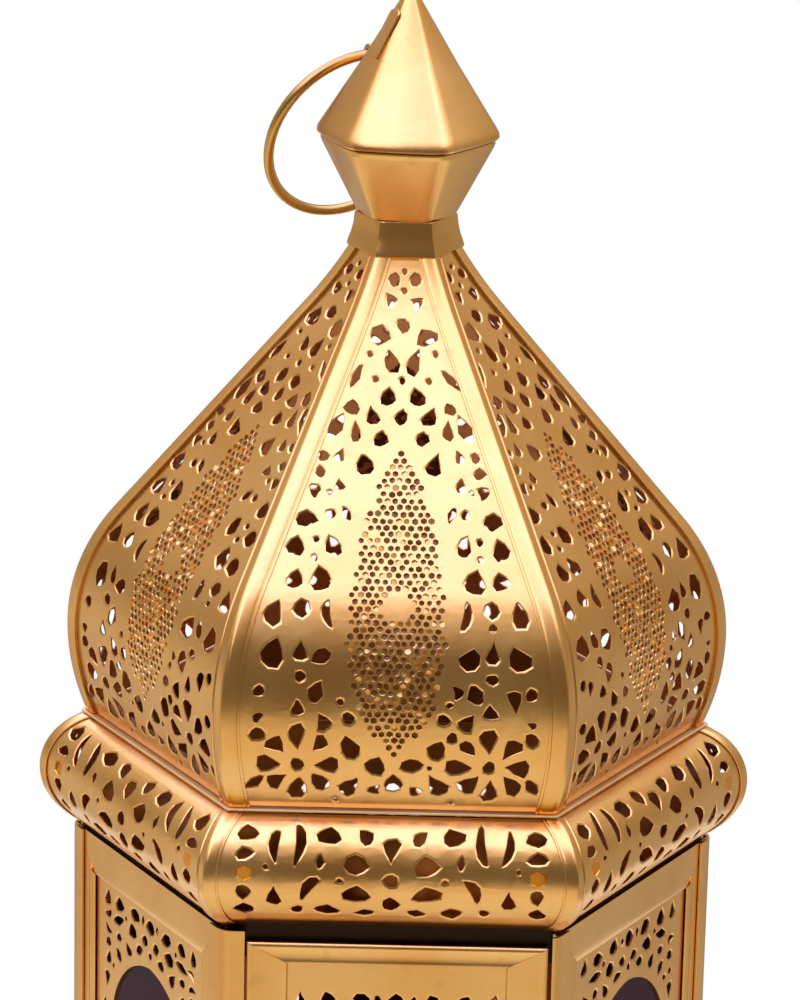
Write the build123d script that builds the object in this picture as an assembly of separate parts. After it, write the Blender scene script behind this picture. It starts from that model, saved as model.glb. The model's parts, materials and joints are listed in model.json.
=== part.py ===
from build123d import *
import os
from math import asin, atan2, cos, degrees, hypot, pi, radians, sin, tan

# Hexagonal lantern: Z is the axis, flat 1 with the door faces -Y, the base stands on Z = 0
sides = 6
turn = 360 / sides
half = radians(turn / 2)

# Sheet stock and fits
sheet = 0.8  # gores, posts, panels, rolls
strip_sheet = 1.0  # border strips of walls and door
fit = 0.1  # between sheets laid on each other
seam = 0.1  # between neighbours at a mitre
running = 0.3  # between pieces that pass each other
bearing = 0.05  # around pivot pins, radial
pin_flats = 12  # sides of small pins, heads and barrels

# Body
body_apothem = 82.75
base_height = 36.5
body_height = 208.5
post_leg = 7.0
rail_height = 9.0
rail_flange_rise = 5.0

# Cornice and base rolls, measured from the edge of the body that they meet
roll_radius = 18.6
roll_overhang = 8.55
roll_rise = 17.6
roll_start = 1.8
roll_height = 34.9
foot_flange = 9.0
ledge_shelf = 9.3
ledge_lip = 0.8

# Dome, measured on the skin of its seam strips
dome_overhang = 1.5
dome_widest_rise = 27.1
dome_low_radius = 76.8
dome_high_radius = 60.3
dome_slope = 36.7
dome_flare_radius = 132.0
dome_flare_end = 27.5
neck_apothem = 13.83
rib_leg = 6.0

# Neck and finial
collar_height = 9.0
collar_lap = 0.9
finial_foot_apothem = 12.9
finial_girdle_apothem = 23.7
finial_rim_step = 0.5
finial_lower_height = 22.2
finial_upper_height = 43.3
finial_tip_apothem = 0.7
lap_tab_width = 6.0
lap_tab_length = 27.0
lap_tab_drop = 4.0
lap_tab_stand = 1.2

# Hanging ring and its eye on the back left ridge
ring_radius = 27.0
ring_wire_radius = 1.5
ring_wire_sides = 8
ring_steps = 30
ring_clear = 1.42
eye_corner_angle = 120.0
eye_stand = 7.3
eye_rise = 19.0
eye_thickness = 1.6
eye_hole_radius = 2.3
eye_rim = 2.0
eye_root = 13.0

# Walls
frame_width = 12.2
bead_width = 1.8
bead_height = 0.8
window_half_width = 24.5
window_arch_radius = 26.6
window_top_drop = 30.0
window_sill_rise = 33.0
glass_thickness = 2.0
glass_lap = 4.0
clip_length = 6.0
clip_reach = 3.0

# Door
door_hinge_jamb = 6.9
door_latch_jamb = 1.7
door_hinge_gap = 0.5
door_latch_gap = 1.15
door_top_gap = 3.6
door_bottom_gap = 1.2
door_stile = 11.7
door_rail = 6.2

# Hinges on the door's left edge
hinge_heights = (82.0, 200.0)
hinge_knuckle = 6.0
hinge_knuckle_radius = 1.7
hinge_pin_radius = 0.9
hinge_post_leaf = 5.6
hinge_door_leaf = 8.0

# Hook latch on the door's right stile
latch_height = 140.0
latch_inset = 8.4
latch_arm_width = 3.0
latch_thickness = 1.0
latch_pivot_radius = 1.2
latch_head_radius = 2.1
latch_head = 0.7
keeper_radius = 0.6
hook_tip = 1.6

# Candle holder
pan_apothem = 30.0
pan_rim = 6.0
cup_apothem = 11.0
cup_depth = 20.0

# Piercing: u runs across the sheet from its middle, the second number up the sheet
gore_rosette = {"centre": (26.8, 15.0), "ring": 7.6, "petals": 5, "length": 6.8, "width": 6.0}
gore_kites = (
    # u, distance up the skin, length, width, turn
    (28.0, 70.5, 7.0, 5.4, 10),
    (20.0, 71.0, 7.6, 5.6, -10),
    (26.4, 82.0, 6.4, 5.0, 15),
    (17.6, 83.5, 7.0, 4.8, -15),
    (23.0, 93.5, 6.0, 4.8, 15),
    (18.2, 104.0, 6.4, 4.8, 20),
    (10.4, 105.0, 6.6, 5.0, -15),
    (14.0, 116.5, 6.4, 4.4, 20),
    (5.6, 118.0, 6.4, 4.6, -10),
    (3.3, 133.0, 6.4, 4.2, 0),
    (6.9, 142.4, 5.4, 5.6, 0),
)
roll_petals = (0.0, 22.0)
roll_petal_length = 9.0
roll_petal_width = 8.0
spandrel_kites = ((26.0, 20.0, 6.0), (15.0, 21.0, 6.0))
kite_slimness = 0.66

# Heights
body_bottom = base_height
body_top = body_bottom + body_height
ledge_z = body_top + roll_height + fit
dome_foot_z = ledge_z + sheet + fit
dome_widest_z = dome_foot_z + dome_widest_rise
roll_reach = body_apothem + roll_overhang
reach = 2 * roll_reach
tall = 2 * body_top

# Wall layers, from the outside in, as distances from the axis
post_inner = body_apothem - sheet
frame_outer = post_inner - fit
frame_inner = frame_outer - strip_sheet
panel_outer = frame_inner - fit
panel_inner = panel_outer - sheet
rail_outer = panel_inner - fit
rail_inner = rail_outer - sheet
glass_outer = panel_inner - fit
wall_bottom = body_bottom + sheet + fit
wall_top = body_top - fit

# Local x points out of the front flat, local y up
section_plane = Plane((0, 0, 0), x_dir=(0, -1, 0), z_dir=(-1, 0, 0))


def front_wedge(apex):
    far = apex + reach
    spread = reach * tan(half)
    base = make_face(Polyline((0, -apex), (spread, -far), (-spread, -far), close=True))
    return Pos(0, 0, -tall / 2) * extrude(base, tall * 2)


def front_run(section):
    return extrude(section_plane * section, reach, both=True)


def sector(section):
    return front_run(section) & front_wedge(seam / 2 / sin(half))


def hexagon_ring(section):
    side = front_run(section) & front_wedge(0)
    ring = side
    for i in range(1, sides):
        ring = ring + turned(side, i)
    return ring


def turned(shape, step):
    return Rot(0, 0, turn * step) * shape


def corner_strip(section, right_leg, left_leg):
    run = front_run(section) & front_wedge(0)
    right = (run - front_wedge(right_leg / tan(half))).solids().sort_by(Axis.X)[-1]
    left = (run - front_wedge(left_leg / tan(half))).solids().sort_by(Axis.X)[0]
    return Part(right.wrapped) + turned(Part(left.wrapped), 1)


def hexagon(apothem, z):
    return Pos(0, 0, z) * RegularPolygon(apothem / cos(half), sides)


def kite(length, width, angle=0):
    shoulder = 0.2 * length
    outline = Polyline((0, length / 2), (width / 2, -shoulder), (0, -length / 2), (-width / 2, -shoulder), close=True)
    return Rot(0, 0, angle) * make_face(outline)


def petal(length, width, angle=0):
    # Wedge with its point towards -y
    outline = Polyline((0, -length / 2), (width / 2, length / 2), (-width / 2, length / 2), close=True)
    return Rot(0, 0, angle) * make_face(outline)


def small_round(radius):
    return RegularPolygon(radius, pin_flats)


def wall_plane(apothem):
    return Plane((0, -apothem, 0), x_dir=(1, 0, 0), z_dir=(0, -1, 0))


# Dome skin: two bulging arcs, a straight slope and a flare towards the neck
dome_widest = body_apothem + dome_overhang
low_sweep = asin(dome_widest_rise / dome_low_radius)
slope = radians(dome_slope)
flare_end = radians(dome_flare_end)
low_centre = (dome_widest - dome_low_radius, dome_widest_z)
high_centre = (dome_widest - dome_high_radius, dome_widest_z)
slope_foot = (high_centre[0] + dome_high_radius * cos(slope), high_centre[1] + dome_high_radius * sin(slope))
flare_inward = dome_flare_radius * (cos(flare_end) - cos(slope))
dome_slope_length = (slope_foot[0] - neck_apothem - flare_inward) / sin(slope)
slope_head = (slope_foot[0] - dome_slope_length * sin(slope), slope_foot[1] + dome_slope_length * cos(slope))
flare_centre = (slope_head[0] + dome_flare_radius * cos(slope), slope_head[1] + dome_flare_radius * sin(slope))
low_length = dome_low_radius * low_sweep
high_length = dome_high_radius * slope
dome_top_z = flare_centre[1] - dome_flare_radius * sin(flare_end)


def polar(centre, radius, angle):
    return (centre[0] + radius * cos(angle), centre[1] + radius * sin(angle))


def skin_arc(centre, radius, start, end):
    return ThreePointArc(
        polar(centre, radius, start), polar(centre, radius, (start + end) / 2), polar(centre, radius, end)
    )


def skin_line(inset):
    low = skin_arc(low_centre, dome_low_radius - inset, -low_sweep, 0)
    high = skin_arc(high_centre, dome_high_radius - inset, 0, slope)
    flare = skin_arc(flare_centre, dome_flare_radius + inset, slope + pi, flare_end + pi)
    return [low, high, Line(high @ 1, flare @ 0), flare]


def dome_sheet(inset):
    outer = skin_line(inset)
    inner = skin_line(inset + sheet)
    ends = [Line(outer[0] @ 0, inner[0] @ 0), Line(outer[-1] @ 1, inner[-1] @ 1)]
    return make_face(outer + inner + ends)


def skin_point(distance):
    if distance < low_length:
        angle = distance / dome_low_radius - low_sweep
        return (*polar(low_centre, dome_low_radius, angle), angle)
    if distance < low_length + high_length:
        angle = (distance - low_length) / dome_high_radius
        return (*polar(high_centre, dome_high_radius, angle), angle)
    along = distance - low_length - high_length
    if along < dome_slope_length:
        return (slope_foot[0] - along * sin(slope), slope_foot[1] + along * cos(slope), slope)
    angle = slope - (along - dome_slope_length) / dome_flare_radius
    return (*polar(flare_centre, dome_flare_radius, angle + pi), angle)


def gore_cut(u, distance, outline):
    apothem, z, angle = skin_point(distance)
    seat = Plane((u, -apothem, z), x_dir=(1, 0, 0), z_dir=(0, -cos(angle), sin(angle)))
    return extrude(seat * outline, 3 * sheet, both=True)


def mirrored(u):
    return (u, -u) if u else (u,)


def gore():
    cuts = []
    centre_u, centre_up = gore_rosette["centre"]
    for side in (1, -1):
        for i in range(gore_rosette["petals"]):
            angle = 90 + 360 / gore_rosette["petals"] * i
            u = centre_u + gore_rosette["ring"] * cos(radians(angle))
            up = centre_up + gore_rosette["ring"] * sin(radians(angle))
            outline = petal(gore_rosette["length"], gore_rosette["width"], angle - 90)
            cuts.append(gore_cut(side * u, up, outline if side > 0 else mirror(outline, Plane.YZ)))
        for u, up, length, width, angle in gore_kites:
            cuts.append(gore_cut(side * u, up, kite(length, width, side * angle)))
    return sector(dome_sheet(sheet + fit)) - cuts


def roll_angles():
    return asin((roll_start - roll_rise) / roll_radius), asin((roll_height - roll_rise) / roll_radius)


def roll_edge(inset):
    start, end = roll_angles()
    return skin_arc((roll_reach - roll_radius, roll_rise), roll_radius - inset, start, end)


def roll_sheet():
    # Heights count from the edge of the body that the roll meets
    outer = roll_edge(0)
    inner = roll_edge(sheet)
    return make_face([outer, inner, Line(outer @ 0, inner @ 0), Line(outer @ 1, inner @ 1)])


def cornice_roll():
    start, end = roll_angles()
    middle = (start + end) / 2
    apothem, z = polar((roll_reach - roll_radius, body_top + roll_rise), roll_radius, middle)
    cuts = []
    for u in roll_petals:
        for x in mirrored(u):
            seat = Plane((x, -apothem, z), x_dir=(1, 0, 0), z_dir=(0, -cos(middle), sin(middle)))
            cuts.append(extrude(seat * petal(roll_petal_length, roll_petal_width), 3 * sheet, both=True))
    return sector(Pos(0, body_top) * roll_sheet()) - cuts


def base_roll():
    start, end = roll_angles()
    toe = roll_reach - roll_radius + roll_radius * cos(end)
    toe_z = body_bottom - roll_height
    flange = make_face(
        Polyline((toe - foot_flange, 0), (toe, 0), (toe, toe_z + sheet), (toe - sheet, toe_z + sheet),
                 (toe - sheet, sheet), (toe - foot_flange, sheet), close=True)
    )
    return hexagon_ring(Pos(0, body_bottom) * mirror(roll_sheet(), Plane.XZ) + flange)


def flange_reach():
    # Out to the inside of the roll, less a running gap
    inside = roll_radius - sheet
    return roll_reach - roll_radius + (inside**2 - (roll_rise - rail_flange_rise) ** 2) ** 0.5 - running


def upright_rail(low, high):
    return hexagon_ring(make_face(Polyline((rail_inner, low), (rail_outer, low), (rail_outer, high),
                                           (rail_inner, high), close=True)))


def cornice_liner():
    # Upright band that backs the rolls: it stands on the flange and ends below their upper edge
    low = body_top + rail_flange_rise + fit + sheet + fit
    over = rail_outer - (roll_reach - roll_radius)
    inside = roll_radius - sheet
    return upright_rail(low, body_top + roll_rise + (inside**2 - over**2) ** 0.5 - running)


def flat_ring(inner, outer, z):
    return hexagon_ring(make_face(Polyline((inner, z), (outer, z), (outer, z + sheet), (inner, z + sheet), close=True)))


def base_flange():
    # Angle under the floor: a rim inside the roll and a flange that meets it
    low = body_bottom - rail_flange_rise
    flange = flange_reach()
    section = make_face(
        Polyline((rail_inner, low - sheet), (flange, low - sheet), (flange, low), (rail_outer, low),
                 (rail_outer, body_bottom - fit), (rail_inner, body_bottom - fit), close=True)
    )
    return hexagon_ring(section)


def dome_ledge():
    start, end = roll_angles()
    inner = polar(low_centre, dome_low_radius, -low_sweep)[0] - ledge_shelf
    return flat_ring(inner, roll_reach - roll_radius + roll_radius * cos(end) + ledge_lip, ledge_z)


def slanted_sheet(foot, foot_z, head, head_z):
    # Section of a sheet that leans from one apothem to another, cut level at both ends
    wall = sheet * hypot(1, (foot - head) / (head_z - foot_z))
    return make_face(Polyline((foot, foot_z), (head, head_z), (head - wall, head_z), (foot - wall, foot_z), close=True))


def neck_collar():
    foot = neck_apothem + collar_lap * tan(flare_end) + fit + sheet + fit
    return hexagon_ring(slanted_sheet(foot, dome_top_z - collar_lap, finial_foot_apothem, dome_top_z + collar_height))


finial_z = dome_top_z + collar_height + fit
girdle_z = finial_z + finial_lower_height + fit
finial_lean = (finial_girdle_apothem - finial_tip_apothem) / finial_upper_height


def finial_lower():
    head_z = finial_z + finial_lower_height
    rim = finial_girdle_apothem - finial_rim_step
    cup = hexagon_ring(slanted_sheet(finial_foot_apothem, finial_z, rim, head_z))
    return cup + extrude(hexagon(finial_foot_apothem - sheet / 2, finial_z), sheet)


def finial_upper():
    wall = sheet * hypot(1, finial_lean)
    tip_z = girdle_z + finial_upper_height
    hollow_z = girdle_z + (finial_girdle_apothem - wall) / finial_lean
    section = make_face(
        Polyline((finial_girdle_apothem, girdle_z), (finial_tip_apothem, tip_z), (0, tip_z), (0, hollow_z),
                 (finial_girdle_apothem - wall, girdle_z), close=True)
    )
    return hexagon_ring(section) + lap_tab()


def lap_tab():
    # A strip of the seam that stands off the front left face, clipped at its top, beside the front left ridge
    lean = atan2(finial_girdle_apothem - finial_tip_apothem, finial_upper_height)
    face = Plane((0, -finial_girdle_apothem, girdle_z), x_dir=(1, 0, 0), z_dir=(0, -cos(lean), sin(lean)))
    ridge_turn = atan2(finial_girdle_apothem * tan(half), finial_upper_height / cos(lean))
    slant = finial_upper_height / cos(lean) - lap_tab_drop - lap_tab_length
    foot_x = (finial_girdle_apothem * tan(half)) * (1 - slant * cos(lean) / finial_upper_height)
    clip = lap_tab_width / 3
    tab = make_face(
        Polyline((0, 0), (0, lap_tab_length - clip), (-clip, lap_tab_length), (clip - lap_tab_width, lap_tab_length),
                 (-lap_tab_width, lap_tab_length - clip), (-lap_tab_width, 0), close=True)
    )
    placed = face * Pos(foot_x, slant) * Rot(0, 0, degrees(ridge_turn)) * tab
    return turned(extrude(placed, lap_tab_stand), -1)


def ridge_radius(rise):
    return (finial_girdle_apothem - rise * finial_lean) / cos(half)


# The eye stands off a ridge of the finial, and the ring leans out from it to clear the girdle
eye_out = (cos(radians(eye_corner_angle)), sin(radians(eye_corner_angle)), 0)
eye_across = (sin(radians(eye_corner_angle)), -cos(radians(eye_corner_angle)), 0)
eye_plane = Plane((0, 0, girdle_z), x_dir=eye_out, z_dir=eye_across)
eye_reach = ridge_radius(eye_rise) + eye_stand
ring_lean = atan2(ridge_radius(0) + ring_wire_radius + ring_clear - eye_reach, eye_rise)


def hanging_eye():
    low, high = eye_rise - eye_root / 2, eye_rise + eye_root / 2
    root = Line((ridge_radius(low) + fit, low), (ridge_radius(high) + fit, high))
    rim = Pos(eye_reach, eye_rise) * small_round(eye_hole_radius + eye_rim)
    lug = make_hull([root, *rim.edges()]) - Pos(eye_reach, eye_rise) * Circle(eye_hole_radius)
    return extrude(eye_plane * lug, eye_thickness / 2, both=True)


def hanging_ring():
    drop = (eye_reach + ring_radius * sin(ring_lean), eye_rise - ring_radius * cos(ring_lean), 0)
    # The ring lies across the eye: one direction along the eye's hole, the other down its hanging line
    normal = Vector(eye_out) * cos(ring_lean) + Vector(0, 0, 1) * sin(ring_lean)
    ring_plane = Plane(eye_plane.from_local_coords(drop), x_dir=eye_across, z_dir=normal)
    path = RegularPolygon(ring_radius, ring_steps).wire()
    start = Plane(path @ 0, z_dir=path % 0)
    wire = start * RegularPolygon(ring_wire_radius, ring_wire_sides, rotation=180 / ring_wire_sides)
    return ring_plane * sweep(wire, path, transition=Transition.RIGHT)


def corner_post(front_right, front_left):
    section = make_face(Polyline((post_inner, wall_bottom), (body_apothem, wall_bottom), (body_apothem, wall_top),
                                 (post_inner, wall_top), close=True))
    return corner_strip(section, front_right, front_left)


def wall_half_width(apothem):
    return apothem * tan(half) - seam


def border_strip(length, width, depth, inner_bead):
    # Lies along X with its inner edge at y = 0, mitred at both ends; z runs out of the wall
    flat = make_face(Polyline((-length / 2, -width), (length / 2, -width), (length / 2 - width, 0),
                              (-length / 2 + width, 0), close=True))
    strip = extrude(flat, depth)
    if inner_bead:
        inner = length / 2 - width
        bead = make_face(Polyline((-inner - bead_width, -bead_width), (inner + bead_width, -bead_width), (inner, 0),
                                  (-inner, 0), close=True))
        strip = strip + Pos(0, 0, depth) * extrude(bead, bead_height, taper=25)
    return strip


def border(width, height, strip_width, depth, bead):
    upright = border_strip(height, strip_width, depth, bead)
    across = border_strip(width, strip_width, depth, bead)
    return [
        Pos(0, -height / 2 + strip_width) * across,
        Pos(0, height / 2 - strip_width) * Rot(0, 0, 180) * across,
        Pos(width / 2 - strip_width, 0) * Rot(0, 0, 90) * upright,
        Pos(-width / 2 + strip_width, 0) * Rot(0, 0, -90) * upright,
    ]


def side_frame():
    width = 2 * wall_half_width(frame_inner)
    strips = border(width, wall_top - wall_bottom, frame_width, strip_sheet, True)
    seat = wall_plane(frame_inner) * Pos(0, (wall_top + wall_bottom) / 2)
    return Compound(children=[Part((seat * strip).wrapped) for strip in strips])


window_top = body_top - window_top_drop
window_sill = body_bottom + window_sill_rise


def window():
    centre = window_half_width - window_arch_radius
    spring = window_top - (window_arch_radius**2 - centre**2) ** 0.5
    apex_angle = degrees(atan2(window_top - spring, -centre))
    right = CenterArc((centre, spring), window_arch_radius, 0, apex_angle)
    left = CenterArc((-centre, spring), window_arch_radius, 180, -apex_angle)
    jambs = Polyline(right @ 0, (window_half_width, window_sill), (-window_half_width, window_sill), left @ 0)
    return make_face([right, left, *jambs.edges()])


def wall_piercing():
    holes = []
    for u, drop, length in spandrel_kites:
        for x in mirrored(u):
            holes.append(Pos(x, body_top - drop) * kite(length, kite_slimness * length))
    return holes


def pierced_wall(half_left, half_right, low, high, shift):
    outline = make_face(Polyline((-half_left, low), (half_right, low), (half_right, high), (-half_left, high), close=True))
    return outline - [Pos(shift, 0) * shape for shape in [window(), *wall_piercing()]]


def side_panel():
    edge = wall_half_width(panel_inner)
    return extrude(wall_plane(panel_outer) * pierced_wall(edge, edge, wall_bottom, wall_top, 0), -sheet)


def glass_pane(outer, shift):
    height = window_top - window_sill + 2 * glass_lap
    pane = Pos(shift, (window_top + window_sill) / 2) * Rectangle(2 * (window_half_width + glass_lap), height)
    return extrude(wall_plane(outer) * pane, -glass_thickness)


def clip_set(sheet_inner, shift):
    # Bent tabs on the back of a sheet, lapping the glass at its four corners
    edge = window_half_width + glass_lap + fit
    depth = glass_thickness + 2 * fit
    clips = []
    for z in (window_sill + clip_length, window_top - window_arch_radius):
        for side in (1, -1):
            tab = make_face(
                Polyline((0, 0), (side * sheet, 0), (side * sheet, depth + sheet), (-side * clip_reach, depth + sheet),
                         (-side * clip_reach, depth), (0, depth), close=True)
            )
            placed = Pos(shift + side * edge, -sheet_inner, z) * extrude(tab, clip_length)
            clips.append(placed)
    return clips


# Door outline in the front wall
wall_edge = body_apothem * tan(half)
door_left = -wall_edge + door_hinge_jamb + door_hinge_gap
door_right = wall_edge - door_latch_jamb - door_latch_gap
door_low = wall_bottom + door_bottom_gap
door_high = body_top - door_top_gap
door_middle = (door_left + door_right) / 2
door_frame_inner = body_apothem - strip_sheet
door_panel_outer = door_frame_inner - fit
door_panel_inner = door_panel_outer - sheet
door_glass_outer = door_panel_inner - fit


def door_frame():
    width, height = door_right - door_left, door_high - door_low
    opening_w, opening_h = width - 2 * door_stile, height - 2 * door_rail
    top = make_face(Polyline((-width / 2, height / 2), (width / 2, height / 2), (opening_w / 2, opening_h / 2),
                             (-opening_w / 2, opening_h / 2), close=True))
    right = make_face(Polyline((width / 2, height / 2), (width / 2, -height / 2), (opening_w / 2, -opening_h / 2),
                               (opening_w / 2, opening_h / 2), close=True))
    strips = [top, right, mirror(top, Plane.XZ), mirror(right, Plane.YZ)]
    seat = wall_plane(door_frame_inner) * Pos(door_middle, (door_high + door_low) / 2)
    solids = [extrude(seat * strip, dir=(0, -1, 0), amount=strip_sheet) for strip in strips]
    solids += clip_set(door_panel_inner, door_middle)
    return Compound(children=solids)


def door_panel():
    sheet_face = pierced_wall(-door_left - fit, door_right - fit, door_low + fit, door_high - fit, door_middle)
    return extrude(wall_plane(door_panel_outer) * sheet_face, -sheet)


# Hinge line, in front of the gap on the door's left side
hinge_x = door_left - door_hinge_gap / 2
hinge_apothem = body_apothem + running + hinge_knuckle_radius


def hinge_leaf(z, reach_x, barrel):
    low, high = body_apothem + fit, body_apothem + fit + sheet
    plate = make_face(Polyline((hinge_x, -low), (hinge_x + reach_x, -low), (hinge_x + reach_x, -high),
                               (hinge_x, -high), close=True))
    return Pos(0, 0, z) * extrude(plate + Pos(hinge_x, -hinge_apothem) * barrel, hinge_knuckle)


def on_hinge(z, length, outline):
    return Pos(hinge_x, -hinge_apothem, z) * extrude(outline, length)


def hinge_post_leaves():
    # Each lower knuckle is a folded block that carries an upright pin
    leaves = []
    for z in hinge_heights:
        leaf = hinge_leaf(z, -hinge_post_leaf, RegularPolygon(hinge_knuckle_radius, sides))
        leaves.append(leaf + on_hinge(z, 2 * hinge_knuckle, small_round(hinge_pin_radius)))
    return Compound(children=leaves)


def hinge_door_leaves():
    # Each upper knuckle drops over the pin below it
    leaves = []
    for z in hinge_heights:
        seat = z + hinge_knuckle + running
        leaf = hinge_leaf(seat, hinge_door_leaf, small_round(hinge_knuckle_radius))
        leaves.append(leaf - on_hinge(seat, hinge_knuckle, Circle(hinge_pin_radius + bearing)))
    return Compound(children=leaves)


# Latch: the hook hangs from its pivot and swings over the top to the keeper on the right post
latch_x = door_right - latch_inset
keeper_x = wall_edge - door_latch_jamb / 2
latch_plane = Plane((latch_x, -body_apothem, latch_height), x_dir=(1, 0, 0), z_dir=(0, -1, 0))
hook_seat = running
hook_head_seat = hook_seat + latch_thickness + running


def latch_pivot():
    stem = extrude(small_round(latch_pivot_radius), hook_head_seat)
    return latch_plane * (stem + Pos(0, 0, hook_head_seat) * extrude(small_round(latch_head_radius), latch_head))


def latch_keeper():
    return latch_plane * Pos(keeper_x - latch_x, 0) * extrude(small_round(keeper_radius), hook_head_seat + latch_head)


def latch_hook():
    # Drawn latched, along +x with its mouth down, then turned to hang
    length = keeper_x - latch_x
    mouth = 2 * (keeper_radius + running)
    tip = length + mouth / 2 + hook_tip
    bar = make_face(Polyline((0, latch_arm_width / 2), (tip, latch_arm_width / 2), (tip, -latch_arm_width / 2),
                             (0, -latch_arm_width / 2), close=True))
    slot = Pos(length, mouth / 2 - latch_arm_width / 2) * Rectangle(mouth, latch_arm_width)
    arm = bar + small_round(latch_head_radius) - Circle(latch_pivot_radius + bearing) - slot
    return latch_plane * Rot(0, 0, -90) * Pos(0, 0, hook_seat) * extrude(arm, latch_thickness)


pan_z = wall_bottom
cup_z = pan_z + sheet + fit


def tray(apothem, z, depth):
    # Open hexagonal box of sheet, measured inside
    return extrude(hexagon(apothem + sheet, z), depth + sheet) - extrude(hexagon(apothem, z + sheet), depth)


def all_parts():
    parts = {
        "finial_upper": finial_upper(),
        "finial_lower": finial_lower(),
        "hanging_eye": hanging_eye(),
        "hanging_ring": hanging_ring(),
        "neck_collar": neck_collar(),
        "dome_ledge": dome_ledge(),
        "cornice_flange": flat_ring(rail_inner, flange_reach(), body_top + rail_flange_rise + fit),
        "cornice_liner": cornice_liner(),
        "body_top_rail": upright_rail(body_top - rail_height, body_top + rail_flange_rise),
        "sill_rail": upright_rail(wall_bottom, body_bottom + rail_height),
        "floor_plate": extrude(hexagon(post_inner, body_bottom), sheet),
        "base_flange": base_flange(),
        "base_roll": base_roll(),
        "drip_pan": tray(pan_apothem, pan_z, pan_rim),
        "candle_cup": tray(cup_apothem, cup_z, cup_depth),
        "door_frame": door_frame(),
        "door_panel": door_panel(),
        "door_glass": glass_pane(door_glass_outer, door_middle),
        "hinge_post_leaves": hinge_post_leaves(),
        "hinge_door_leaves": hinge_door_leaves(),
        "latch_hook": latch_hook(),
        "latch_pivot": latch_pivot(),
        "latch_keeper": latch_keeper(),
    }
    one_gore = gore()
    one_rib = corner_strip(dome_sheet(0), rib_leg, rib_leg)
    one_roll = cornice_roll()
    post_legs = [(post_leg, post_leg)] * sides
    post_legs[0] = (door_latch_jamb, post_leg)
    post_legs[-1] = (post_leg, door_hinge_jamb)
    for i in range(sides):
        parts[f"dome_gore_{i + 1}"] = turned(one_gore, i)
        parts[f"dome_rib_{i + 1}"] = turned(one_rib, i)
        parts[f"corner_post_{i + 1}"] = turned(corner_post(*post_legs[i]), i)
    parts["cornice_rolls"] = Compound(children=[turned(one_roll, i) for i in range(sides)])
    one_panel, one_frame, one_pane = side_panel(), side_frame(), glass_pane(glass_outer, 0)
    clips = []
    for i in range(1, sides):
        parts[f"side_panel_{i}"] = turned(one_panel, i)
        parts[f"side_frame_{i}"] = turned(one_frame, i)
        parts[f"side_glass_{i}"] = turned(one_pane, i)
        clips += [turned(clip, i) for clip in clip_set(panel_inner, 0)]
    parts["glass_clips"] = Compound(children=clips)
    return parts


os.makedirs("parts", exist_ok=True)
for name, shape in all_parts().items():
    export_step(shape, f"parts/{name}.step")
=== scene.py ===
import json
import random
from math import atan2, cos, degrees, hypot, radians, sin, sqrt, tan

import bmesh
import bpy
from mathutils import Matrix, Vector


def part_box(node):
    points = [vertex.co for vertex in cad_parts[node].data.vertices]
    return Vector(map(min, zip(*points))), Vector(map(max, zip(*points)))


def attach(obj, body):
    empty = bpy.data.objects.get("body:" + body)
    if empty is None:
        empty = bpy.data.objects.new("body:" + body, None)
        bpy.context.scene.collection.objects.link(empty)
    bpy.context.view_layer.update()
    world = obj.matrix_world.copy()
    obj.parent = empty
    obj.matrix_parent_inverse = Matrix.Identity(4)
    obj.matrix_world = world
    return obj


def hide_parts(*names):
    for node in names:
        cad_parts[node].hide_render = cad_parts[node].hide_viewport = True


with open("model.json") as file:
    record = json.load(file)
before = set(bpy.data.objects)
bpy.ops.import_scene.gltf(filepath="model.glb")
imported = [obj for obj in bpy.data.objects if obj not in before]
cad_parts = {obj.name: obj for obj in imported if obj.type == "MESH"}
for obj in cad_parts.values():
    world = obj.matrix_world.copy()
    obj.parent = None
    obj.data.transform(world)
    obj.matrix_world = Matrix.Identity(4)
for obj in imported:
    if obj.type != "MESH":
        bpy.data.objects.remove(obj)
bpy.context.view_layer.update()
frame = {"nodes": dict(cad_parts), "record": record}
scene = bpy.context.scene
scene.view_settings.view_transform = "Standard"
print("frame loaded")


class Field:  # a socket that can stand in sums
    def __init__(self, tree, socket):
        self.tree = tree
        self.socket = socket

    def add(self, kind, settings, sockets, outlet=0):
        node = self.tree.nodes.new(kind)
        for key, value in settings.items():
            setattr(node, key, value)
        feed(node, sockets)
        return Field(self.tree, node.outputs[outlet])

    def math(self, operation, first, second=0.0):
        return self.add("ShaderNodeMath", {"operation": operation}, {0: first, 1: second})

    def __add__(self, other):
        return self.math("ADD", self, other)

    def __radd__(self, other):
        return self.math("ADD", other, self)

    def __sub__(self, other):
        return self.math("SUBTRACT", self, other)

    def __rsub__(self, other):
        return self.math("SUBTRACT", other, self)

    def __mul__(self, other):
        return self.math("MULTIPLY", self, other)

    def __rmul__(self, other):
        return self.math("MULTIPLY", other, self)

    def between(self, low, high):  # 0 under low, 1 over high, eased
        return self.add("ShaderNodeMapRange", {"interpolation_type": "SMOOTHSTEP"},
                        {"Value": self, "From Min": low, "From Max": high})

    def noise(self, scale, detail):
        return self.add("ShaderNodeTexNoise", {}, {"Vector": self, "Scale": scale, "Detail": detail})

    def mixed(self, first, second):  # this field as the factor between two colours
        return self.add("ShaderNodeMix", {"data_type": "RGBA"}, {0: self, 6: first, 7: second}, 2)


def feed(node, sockets):  # each socket takes a field or a plain value
    for key, value in sockets.items():
        if isinstance(value, Field):
            value.tree.links.new(value.socket, node.inputs[key])
        else:
            node.inputs[key].default_value = value


def start(tree):  # a place in the object's own coordinates
    return Field(tree, None).add("ShaderNodeTexCoord", {}, {}, 3)


def parts(vector):
    split = vector.add("ShaderNodeSeparateXYZ", {}, {0: vector}).socket.node
    return [Field(vector.tree, outlet) for outlet in split.outputs]


def newMaterial(name):
    material = bpy.data.materials.new(name)
    material.use_nodes = True
    return material, material.node_tree


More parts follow.
